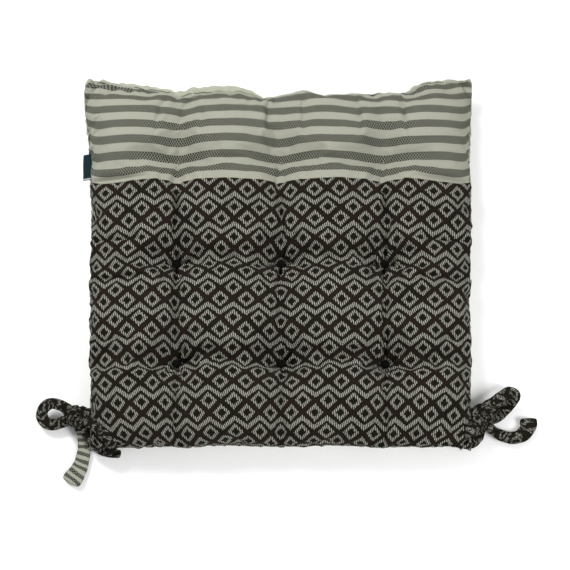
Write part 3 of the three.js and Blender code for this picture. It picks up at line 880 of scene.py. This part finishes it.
def stuffed(top, under, pad):
    """Sews the two start shapes together and blows them up with Cloth, held at the seam and the tufts."""
    count = 2 * CELLS + 1
    index = np.arange(count * count).reshape(count, count)
    inside = np.zeros((count, count), bool)
    inside[1:-1, 1:-1] = True
    under_index = index.copy()
    under_index[inside] = count * count + np.arange(inside.sum())
    places = np.concatenate([top.reshape(-1, 3), under[inside]])
    faces = np.concatenate([grid_faces(index), grid_faces(under_index)[:, ::-1]])
    blank = bpy.data.materials.new("blank")
    body = mesh_object("stuffing", places, faces.tolist(), blank)
    held = set(index[~inside].tolist())
    for numbers, cell in ((index, TUFT_CELL_TOP), (under_index, TUFT_CELL_UNDER)):
        for i in TUFT_LINES:
            for j in TUFT_LINES:
                a, b = CELLS + i * cell, CELLS + j * cell
                around = ((0, 0), (1, 0), (-1, 0), (0, 1), (0, -1))
                held.update(int(numbers[a + di, b + dj]) for di, dj in around)
    group = body.vertex_groups.new(name="held")
    group.add(sorted(held), 1.0, "REPLACE")
    cloth = body.modifiers.new("stuffing", "CLOTH")
    fabric = cloth.settings
    fabric.quality = 5
    fabric.mass = 0.3
    fabric.tension_stiffness = fabric.compression_stiffness = 20
    fabric.shear_stiffness = 6
    fabric.bending_stiffness = 0.12
    fabric.tension_damping = fabric.compression_damping = fabric.shear_damping = 6
    fabric.air_damping = 2
    fabric.use_pressure = True
    fabric.uniform_pressure_force = pad.pressure
    fabric.shrink_min = -pad.slack
    fabric.vertex_group_mass = "held"
    fabric.effector_weights.gravity = 0
    cloth.collision_settings.use_collision = False
    cloth.point_cache.frame_start = 1
    cloth.point_cache.frame_end = pad.frames
    scene = bpy.context.scene
    for step in range(1, pad.frames + 1):
        scene.frame_set(step)
    result = body.evaluated_get(bpy.context.evaluated_depsgraph_get()).data
    swollen = np.empty(len(result.vertices) * 3, np.float32)
    result.vertices.foreach_get("co", swollen)
    swollen = swollen.reshape(-1, 3).astype(float)
    scene.frame_set(1)
    bpy.data.objects.remove(body)
    bpy.data.materials.remove(blank)
    return swollen[index], swollen[under_index]


def refine(grid):
    """Twice as fine a grid: each new point lies on a cubic through its four neighbours in the row."""
    def along_first(values):
        ends = np.concatenate([2 * values[:1] - values[1:2], values, 2 * values[-1:] - values[-2:-1]])
        between = (9 * (ends[1:-2] + ends[2:-1]) - ends[:-3] - ends[3:]) / 16
        finer = np.empty((2 * len(values) - 1, *values.shape[1:]))
        finer[::2], finer[1::2] = values, between
        return finer
    return along_first(along_first(grid).swapaxes(0, 1)).swapaxes(0, 1)


def normals_of(grid):
    """Unit normals of a grid of places, by the cross product of its two directions."""
    return unit(np.cross(np.gradient(grid, axis=0), np.gradient(grid, axis=1)))


def gathers(grid, seam_share, seed):
    """Small relief, in metres: puckers across the seam, gathers round the tufts and a fine crumple."""
    random = np.random.default_rng(RNG_SEED + seed)
    count = grid.shape[0]
    t = np.linspace(-1, 1, count)
    u, v = np.meshgrid(t, t, indexing="ij")
    x, y = grid[..., 0], grid[..., 1]
    relief = np.zeros_like(x)
    edge = np.maximum(np.abs(u), np.abs(v))
    run = np.where(np.abs(u) > np.abs(v), y, x)
    pucker = sum(np.sin(run * 2 * np.pi / wave + random.uniform(0, 6)) * size
                 for wave, size in ((0.0085, 0.45), (0.0123, 0.55), (0.021, 0.7)))
    relief += 0.0005 * seam_share * pucker * smooth(0.86, 0.97, edge) * (1 - smooth(0.985, 1.0, edge))
    reach = np.hypot(nearest_line(x), nearest_line(y))
    turn = np.arctan2(y - PITCH * np.round(y / PITCH), x - PITCH * np.round(x / PITCH))
    column, row = np.round(x / PITCH), np.round(y / PITCH)
    size = np.where(row > 0, 0.0005, 0.0016)
    fans = np.sin((9 + column) * turn + 2.1 * column + 1.3 * row) + 0.6 * np.sin((5 - row) * turn + column)
    relief += size * fans * smooth(0.003, 0.009, reach) * (1 - smooth(0.010, 0.030, reach))
    for wave, size in ((0.034, 0.55), (0.022, 0.35), (0.014, 0.22)):
        for _ in range(4):
            lean = random.uniform(0, np.pi)
            phase = (x * np.cos(lean) + y * np.sin(lean)) * 2 * np.pi / wave
            relief += 0.00025 * size * np.sin(phase + random.uniform(0, 6) + 2 * np.sin(phase * 0.31))
    return relief


def cloth_coordinates(grid, slack, band=False):
    """Places on the flat cloth: lengths along the grid's lines from the middle, the same for every line.

    With a band, each line's own length counts past the start of the band, so that the stripes keep their
    width, and the rows are drawn level at the left and right, where the cloth drops away.
    """
    band_start, levelling = 0.46, 0.48

    def lengths(axis):
        steps = np.linalg.norm(np.diff(grid, axis=axis), axis=-1)
        total = np.cumsum(steps, axis=axis)
        total = np.concatenate([np.zeros_like(total.take([0], axis)), total], axis)
        return total - total.take([grid.shape[axis] // 2], axis)
    run_u, run_v = lengths(0), lengths(1)
    mean_u = np.broadcast_to(run_u.mean(1, keepdims=True), run_u.shape)
    mean_v = np.broadcast_to(run_v.mean(0, keepdims=True), run_v.shape)
    if band:
        v = np.linspace(-1, 1, grid.shape[1])[None, :]
        line = [CELLS + int(band_start * CELLS)]
        own = softened(run_v, 6)
        own = own - own[:, line] + mean_v[:, line]
        mean_v = mean_v + (own - mean_v) * smooth(band_start, 0.7, v)
        u = np.linspace(-1, 1, grid.shape[0])[:, None]
        z = grid[..., 2]
        drop = np.clip(z[CELLS // 3:-(CELLS // 3)].mean(0) - z, 0, None)
        mean_v = mean_v - levelling * drop * smooth(0.72, 0.95, np.abs(u))
    return np.stack([mean_u, mean_v], axis=-1) * (1 + slack)


def settled(under):
    """Lays the underside on the floor: what would sink below it is pressed flat."""
    z = under[..., 2]
    soft = 0.003
    pressed = np.where(z < soft, soft * np.exp(np.minimum(z - soft, 0) / soft), z)
    return np.concatenate([under[..., :2], pressed[..., None]], axis=-1)


def cover_object(name, grid, cloth, finish, outward, pad):
    """A cover as one sheet with its thickness on the inside."""
    index = np.arange(grid.shape[0] * grid.shape[1]).reshape(grid.shape[:2])
    faces = grid_faces(index)
    made = mesh_object(name, grid.reshape(-1, 3), (faces if outward else faces[:, ::-1]).tolist(), finish,
                       cloth.reshape(-1, 2))
    wall = made.modifiers.new("wall", "SOLIDIFY")
    wall.thickness = pad.cover
    wall.offset = -1
    return made


SHAPES = {}


class SEATPAD_OT_covers(bpy.types.Operator):
    """Sews and stuffs the front cover and the backing, by cloth simulation"""

    bl_idname = "seatpad.covers"
    bl_label = "Covers"

    def execute(self, context):
        pad = context.scene.seat_pad
        top_start, under_start = cover_start(True, pad), cover_start(False, pad)
        under_start[0], under_start[-1] = top_start[0], top_start[-1]
        under_start[:, 0], under_start[:, -1] = top_start[:, 0], top_start[:, -1]
        top_cloth = cloth_coordinates(top_start, pad.slack, band=True)
        under_cloth = cloth_coordinates(under_start, pad.slack)
        top, under = stuffed(top_start, under_start, pad)
        top, under = refine(top), refine(under)
        top_cloth, under_cloth = refine(top_cloth), refine(under_cloth)
        top = top + normals_of(top) * gathers(top, 1.0, 1)[..., None]
        under = under - normals_of(under) * gathers(under, 1.3, 2)[..., None]
        top, under = settled(top), settled(under)
        SHAPES["top"], SHAPES["under"] = top, under
        tuft = top_cloth[CELLS * 2, (CELLS + TUFT_CELL_TOP) * 2, 1] * 1000
        finish = front_cloth(context.scene.seat_pad_cloth, tuft - BAND_TO_TUFTS)
        front = cover_object("front_cover_cloth", top, top_cloth, finish, True, pad)
        backing = cover_object("backing_cloth", under, under_cloth, material("backing"), False, pad)
        for piece, node, slot in ((front, "top_cover", "jacquard_cotton"),
                                  (backing, "backing_cover", "cream_cotton")):
            placed(piece, "pad", slot, node)
        return {"FINISHED"}


def lowered(height, reach):
    """The lowest height within reach cells of each cell of a grid."""
    count = height.shape[0]
    for axis in (0, 1):
        held = np.pad(height, [(reach, reach) if axis == i else (0, 0) for i in (0, 1)], "edge")
        height = np.min([held.take(range(k, k + count), axis) for k in range(2 * reach + 1)], axis=0)
    return height


class SEATPAD_OT_batts(bpy.types.Operator):
    """Fills the covers with an upper and a lower batt of fibre"""

    bl_idname = "seatpad.batts"
    bl_label = "Fibre batts"

    def execute(self, context):
        split, gap, least, inset = 0.018, 0.00015, 0.0004, 0.0034
        margin, every = 10, 4                  # grid cells left free at the rim, and from line to line
        for name, node, grid, outward in (
                ("upper_batt", "filling_upper", SHAPES["top"], 1),
                ("lower_batt", "filling_lower", SHAPES["under"], -1)):
            inner = grid - outward * inset * normals_of(grid)
            inner[..., 2] = lowered(inner[..., 2] * outward, every) * outward
            inner = inner[margin:-margin:every, margin:-margin:every]
            level = split + outward * gap
            if outward > 0:
                inner[..., 2] = np.maximum(inner[..., 2], level + least)
            else:
                inner[..., 2] = np.minimum(inner[..., 2], level - least)
            flat = inner.copy()
            flat[..., 2] = level
            count = inner.shape[0]
            index = np.arange(count * count).reshape(count, count)
            faces, under = grid_faces(index), grid_faces(index + count * count)
            rim = np.concatenate([index[:-1, 0], index[-1, :-1], index[:0:-1, -1], index[0, :0:-1]])
            following = np.roll(rim, -1)
            walls = np.stack([rim, rim + count * count, following + count * count, following], 1)
            faces = np.concatenate([faces, under[:, ::-1], walls])
            if outward < 0:
                faces = faces[:, ::-1]
            made = mesh_object(name, np.concatenate([inner.reshape(-1, 3), flat.reshape(-1, 3)]),
                               faces.tolist(), material("batt"))
            placed(made, "pad", "fibre_batt", node)
        return {"FINISHED"}


class SEATPAD_OT_threads(bpy.types.Operator):
    """Makes the machine seam inside the edge and the closing stitches of the filling gap"""

    bl_idname = "seatpad.threads"
    bl_label = "Seam threads"

    def execute(self, context):
        top, under = SHAPES["top"], SHAPES["under"]
        inset, closing_half, stitch = 3, 0.0698, 0.0006
        between = (top[inset:-inset, inset:-inset] + under[inset:-inset, inset:-inset]) / 2
        ring = np.concatenate([between[:-1, 0], between[-1, :-1], between[:0:-1, -1], between[0, :0:-1]])
        on_striped_edge = ring[:, 1] > 0.15
        closing = on_striped_edge & (np.abs(ring[:, 0]) < closing_half)
        first = int(np.flatnonzero(closing)[0])
        ring, closing = np.roll(ring, -first, 0), np.roll(closing, -first)
        count = int(closing.sum())
        sewn, closed = ring[count + 1:-1], ring[:count]
        zigzag = closed + np.outer(np.where(np.arange(count) % 2, 1, -1) * stitch, (0, 0.3, 1))
        for name, node, path, finish, slot in (
                ("machine_seam", "seam_thread", sewn, "dark_thread", "dark_thread"),
                ("closing_stitches", "closing_seam_thread", zigzag, "cream_thread", "cream_thread")):
            made = carried(name, path, 0.00035, 0.00035, material(finish), sides=6, squareness=1.0)
            placed(made, "pad", slot, node)
        return {"FINISHED"}


ROW_NAMES = ("front", "middle", "back")
COLUMN_NAMES = ("left", "centre", "right")


def strands(name, paths, radius, finish):
    """Several threads as one piece."""
    made = [carried(f"{name}_{i}", path, radius, radius, finish, sides=8, squareness=1.0)
            for i, path in enumerate(paths)]
    places, faces, cloth, total = [], [], [], 0
    for piece in made:
        mesh = piece.data
        count = len(mesh.vertices)
        place = np.empty(count * 3, np.float32)
        mesh.vertices.foreach_get("co", place)
        flat = np.empty(count * 2, np.float32)
        mesh.attributes["cloth"].data.foreach_get("vector", flat)
        places.append(place.reshape(-1, 3))
        cloth.append(flat.reshape(-1, 2))
        faces += [tuple(v + total for v in polygon.vertices) for polygon in mesh.polygons]
        total += count
        bpy.data.objects.remove(piece)
        bpy.data.meshes.remove(mesh)
    return mesh_object(name, np.concatenate(places), faces, finish, np.concatenate(cloth))


class SEATPAD_OT_tufts(bpy.types.Operator):
    """Makes the nine tufting threads: a stem through the pad, crossed stitches on top and a knot below. On
    the front and middle rows the crossed stitches are thick, wide and near-black, partly thread and partly
    painted shade standing for the dark pit round each tuft.
    """

    bl_idname = "seatpad.tufts"
    bl_label = "Tufts"

    def execute(self, context):
        top, under = SHAPES["top"], SHAPES["under"]
        stitches, foot_size, t, arc = 6, 0.0030, np.linspace(0, 1, 16)[:, None], np.linspace(-1, 1, 15)
        for row, row_name in enumerate(ROW_NAMES):
            for column, column_name in enumerate(COLUMN_NAMES):
                node = f"tuft_{row_name}_{column_name}"
                head = top[(CELLS + (column - 1) * TUFT_CELL_TOP) * 2,
                           (CELLS + (row - 1) * TUFT_CELL_TOP) * 2]
                foot = under[(CELLS + (column - 1) * TUFT_CELL_UNDER) * 2,
                             (CELLS + (row - 1) * TUFT_CELL_UNDER) * 2]
                thread = "cream_thread" if row == 2 else "dark_thread"
                random = np.random.default_rng(RNG_SEED + 10 * row + column)
                paths = [foot * (1 - t) + head * t + (0.0004, 0, 0)]
                # Front and middle rows: thick near-black stitches spread wide over the pit, partly thread and
                # partly painted shade for the dark pit round the tuft. Back row: thin cream stitches, nearly
                # flush.
                size, thick = (0.0064, 0.0012) if row < 2 else (0.0012, 0.0005)
                for angle in random.uniform(0, np.pi) + np.arange(stitches) * np.pi / stitches:
                    bow = np.stack([np.cos(angle) * arc * size, np.sin(angle) * arc * size,
                                    thick * 2.4 * (1 - arc ** 2) - 0.0001 + 0.0005 * random.uniform()], 1)
                    paths.append(head + (0, 0, 0.0006) + bow)
                for angle in (0.4, 1.9):
                    bow = np.stack([np.cos(angle) * arc * foot_size, np.sin(angle) * arc * foot_size,
                                    -0.0010 * (1 - arc ** 2)], 1)
                    paths.append(foot - (0, 0, 0.0003) + bow)
                made = strands(f"{node}_thread", paths, thick, material(thread))
                placed(made, "pad", thread, node)
        return {"FINISHED"}


class SEATPAD_OT_label(bpy.types.Operator):
    """Makes the folded tape in the side seam"""

    bl_idname = "seatpad.label"
    bl_label = "Side label"

    def execute(self, context):
        low, high = (np.array(corner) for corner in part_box("side_label"))
        pivot_x, droop, length, width = -0.199245, math.radians(25), 0.0093, 0.028
        half, tape = 0.00075, 0.0004
        run = np.linspace(0, 1, 40)
        fold = np.pi * np.clip((run - 0.46) / 0.08, 0, 1)
        straight = length - half
        out = np.where(run < 0.5, np.minimum(run / 0.46, 1), np.minimum((1 - run) / 0.46, 1)) * straight
        out = out + half * np.sin(fold)
        lift = half * np.cos(fold)
        spine = np.stack([out, lift], 1)
        tangent = unit(np.gradient(spine, axis=0))
        normal = np.stack([-tangent[:, 1], tangent[:, 0]], 1)
        loop = np.concatenate([spine + normal * tape / 2, (spine - normal * tape / 2)[::-1]])
        across = np.linspace(-width / 2, width / 2, 24)
        wave = 0.0004 * np.sin(across * 210 + 0.6)
        grid_out = np.broadcast_to(loop[:, None, 0], (len(loop), len(across)))
        grid_lift = loop[:, None, 1] + wave[None, :] * (grid_out / length) ** 2
        x = pivot_x - (grid_out * math.cos(droop) + grid_lift * math.sin(droop)) + 0.0008
        z = (low[2] + high[2]) / 2 + 0.0020 - grid_out * math.sin(droop) + grid_lift * math.cos(droop)
        y = np.broadcast_to((low[1] + high[1]) / 2 + across[None, :], x.shape)
        places = np.stack([x, y, z], -1).reshape(-1, 3)
        index = np.arange(len(places)).reshape(len(loop), len(across)).T
        faces = grid_faces(index, wrap=True)[:, ::-1].tolist()
        half_run = len(loop) // 2
        for end, flip in ((index[0], False), (index[-1], True)):
            near, far = end[:half_run], end[half_run:][::-1]
            strip = np.stack([near[:-1], near[1:], far[1:], far[:-1]], 1)
            faces += (strip[:, ::-1] if flip else strip).tolist()
        cloth = np.stack([np.broadcast_to(np.arange(len(loop))[:, None] * 0.0005, x.shape), y - y.mean()], -1)
        made = mesh_object("side_label_tape", places, faces, material("label"), cloth.reshape(-1, 2))
        placed(made, "label", "label_tape", "side_label")
        return {"FINISHED"}


# ---- stage --------------------------------------------------------------------------------------------
def aimed(made, place, target):
    made.location = place
    made.rotation_euler = (Vector(target) - Vector(place)).to_track_quat("-Z", "Y").to_euler()


class SEATPAD_OT_stage(bpy.types.Operator):
    """Makes the camera, the pale floor and the soft light"""

    bl_idname = "seatpad.stage"
    bl_label = "Stage"

    def execute(self, context):
        stage, scene = context.scene.seat_pad_stage, context.scene
        target = (0.0042, -0.0153, 0.0)
        lens = bpy.data.cameras.new("camera")
        camera = bpy.data.objects.new("camera", lens)
        scene.collection.objects.link(camera)
        reach = stage.distance
        aimed(camera, (target[0], target[1] - reach * math.cos(stage.elevation),
                       reach * math.sin(stage.elevation)), target)
        lens.lens = lens.sensor_width * reach / stage.span
        lens.clip_end = 50
        scene.camera = camera
        half = 4.0
        corners = [(-half, -half, 0), (half, -half, 0), (half, half, 0), (-half, half, 0)]
        floor = mesh_object("floor", corners, [(0, 1, 2, 3)], floor_finish(stage.floor))
        for name, place, side, power in (
                ("key_light", (-1.0, 1.2, 1.5), 0.9, stage.key),
                ("fill_light", (1.2, -1.0, 1.5), 0.9, stage.key * 0.72)):
            light = bpy.data.lights.new(name, "AREA")
            light.energy, light.size = power, side
            lamp = bpy.data.objects.new(name, light)
            scene.collection.objects.link(lamp)
            aimed(lamp, place, (0, 0, 0))
        world = bpy.data.worlds.new("sky")
        world.use_nodes = True
        background = world.node_tree.nodes["Background"]
        background.inputs["Color"].default_value = (1, 1, 1, 1)
        background.inputs["Strength"].default_value = stage.sky
        scene.world = world
        scene.view_settings.view_transform = "Standard"
        return {"FINISHED"}


class SEATPAD_PT_panel(bpy.types.Panel):
    """The pad's makers and settings"""

    bl_label = "Seat pad"
    bl_idname = "SEATPAD_PT_panel"
    bl_space_type = "VIEW_3D"
    bl_region_type = "UI"
    bl_category = "Seat pad"

    def draw(self, context):
        scene = context.scene
        for settings in (scene.seat_pad, scene.seat_pad_cloth, scene.seat_pad_ties, scene.seat_pad_stage):
            box = self.layout.box()
            for key in settings.bl_rna.properties.keys():
                if key not in ("rna_type", "name"):
                    box.prop(settings, key)
        for operator in OPERATORS:
            self.layout.operator(operator.bl_idname)


OPERATORS = (SEATPAD_OT_stage, SEATPAD_OT_straps, SEATPAD_OT_covers, SEATPAD_OT_batts, SEATPAD_OT_threads,
             SEATPAD_OT_tufts, SEATPAD_OT_label)
SETTINGS = {"seat_pad": PadSettings, "seat_pad_cloth": ClothSettings, "seat_pad_ties": TieSettings,
            "seat_pad_stage": StageSettings}


def register():
    for group in (*SETTINGS.values(), *OPERATORS, SEATPAD_PT_panel):
        bpy.utils.register_class(group)
    for key, group in SETTINGS.items():
        setattr(bpy.types.Scene, key, bpy.props.PointerProperty(type=group))


def unregister():
    for key in SETTINGS:
        delattr(bpy.types.Scene, key)
    for group in (SEATPAD_PT_panel, *OPERATORS, *SETTINGS.values()):
        bpy.utils.unregister_class(group)


def main():
    register()
    bpy.ops.seatpad.stage()
    bpy.ops.seatpad.straps()
    bpy.ops.seatpad.covers()
    bpy.ops.seatpad.batts()
    bpy.ops.seatpad.threads()
    bpy.ops.seatpad.tufts()
    bpy.ops.seatpad.label()


if __name__ == "__main__":
    main()
